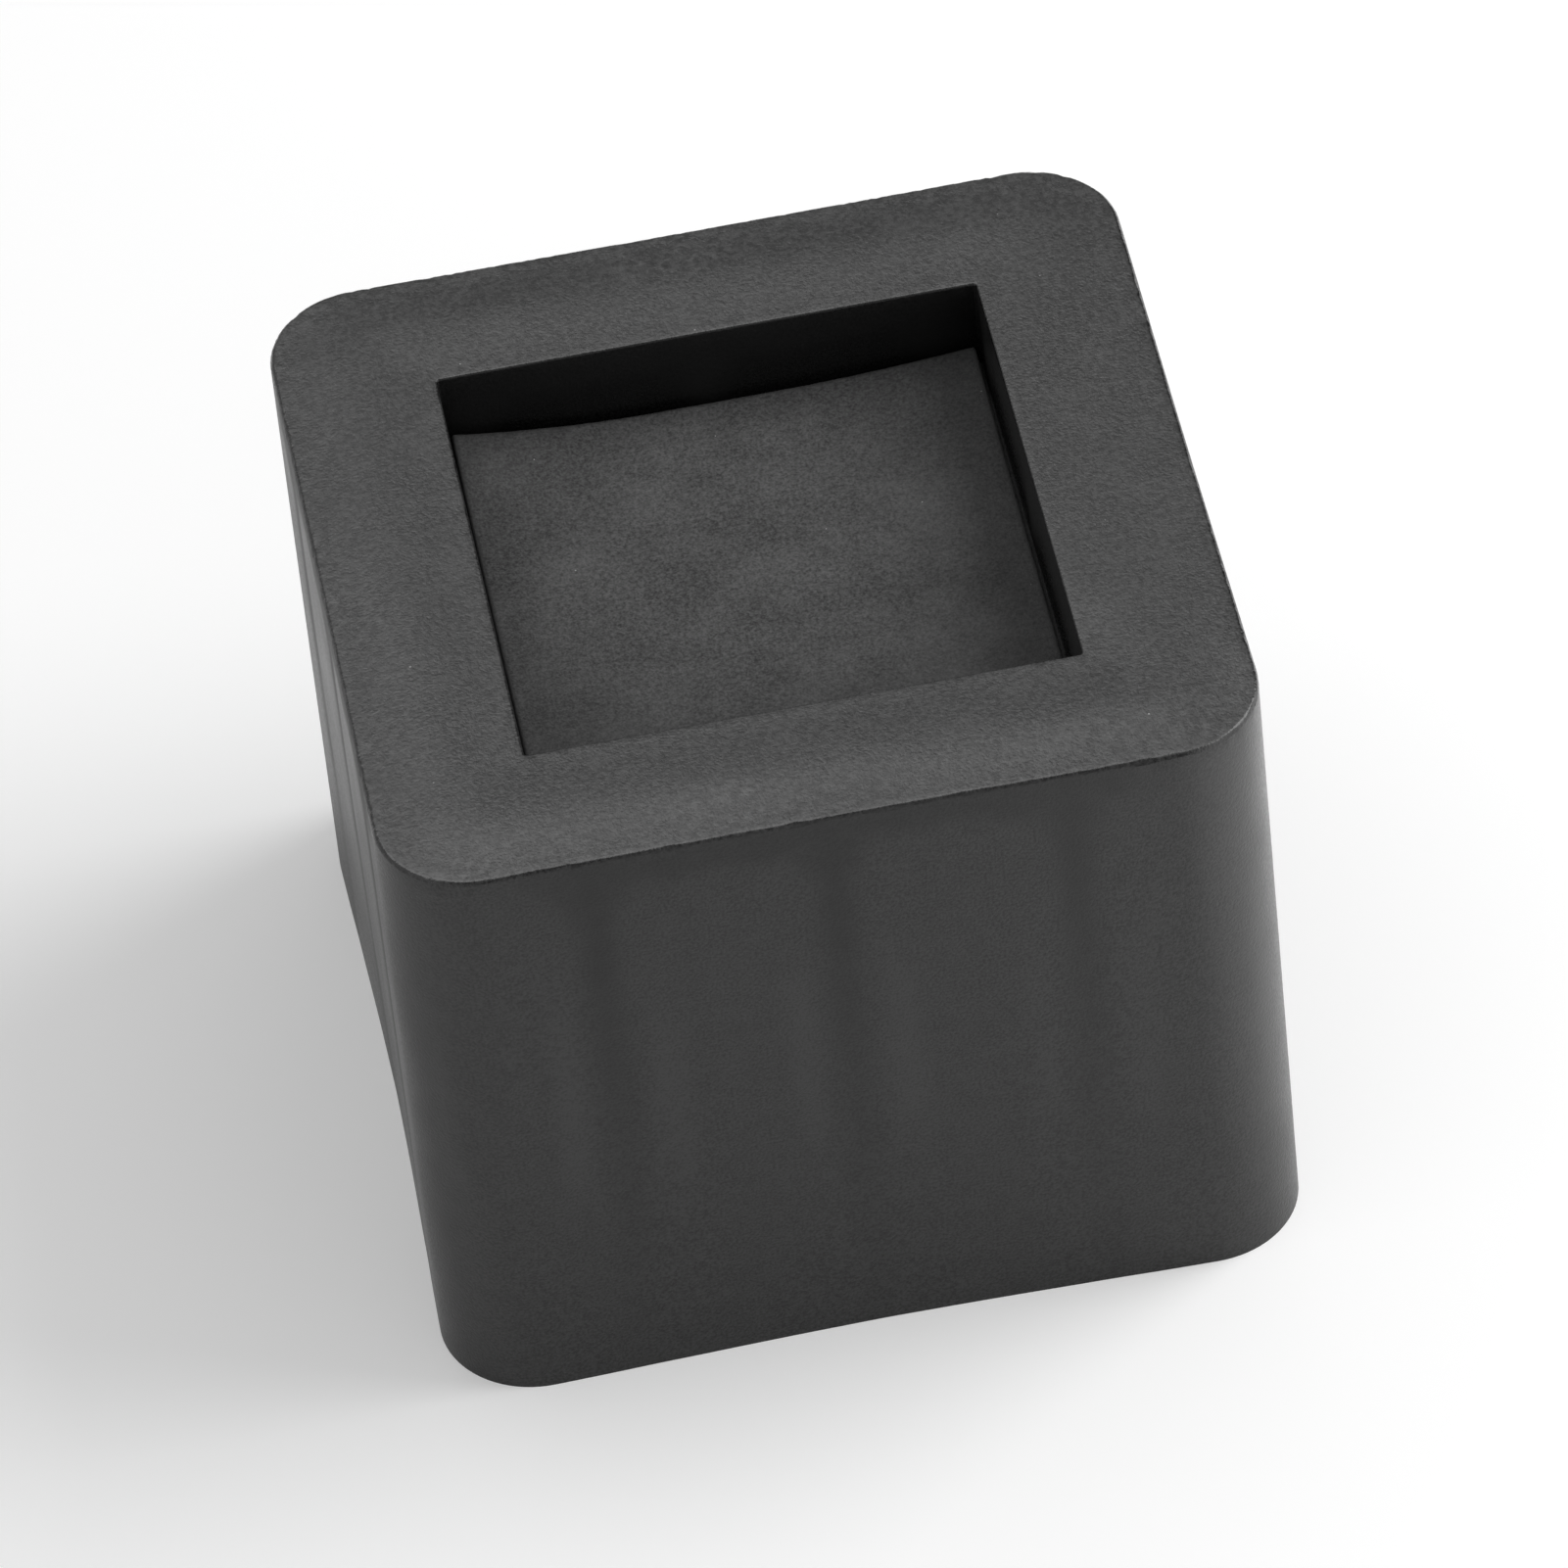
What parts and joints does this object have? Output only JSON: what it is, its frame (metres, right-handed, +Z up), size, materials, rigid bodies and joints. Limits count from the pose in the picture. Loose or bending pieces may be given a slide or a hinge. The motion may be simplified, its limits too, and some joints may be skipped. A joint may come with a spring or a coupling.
{
  "type": "bed riser",
  "caption": "Square hollow moulded block that raises a furniture leg, with a recess in its top and a loose pad that the leg stands on.",
  "frame": {"origin": "middle of the foot, at the floor", "axes": "+Z up, out of the recess; +Y away from the viewer of the picture; +X to the viewer's right"},
  "size_m": [0.0912, 0.0912, 0.074],
  "materials": {
    "body_plastic": "satin black moulded plastic with a fine mottled grain",
    "pad_sheet": "matt black sheet with a fine speckle and cut edges"
  },
  "bodies": {
    "root": {"riser_body": "body_plastic", "recess_pad": "pad_sheet"}
  },
  "joints": []
}
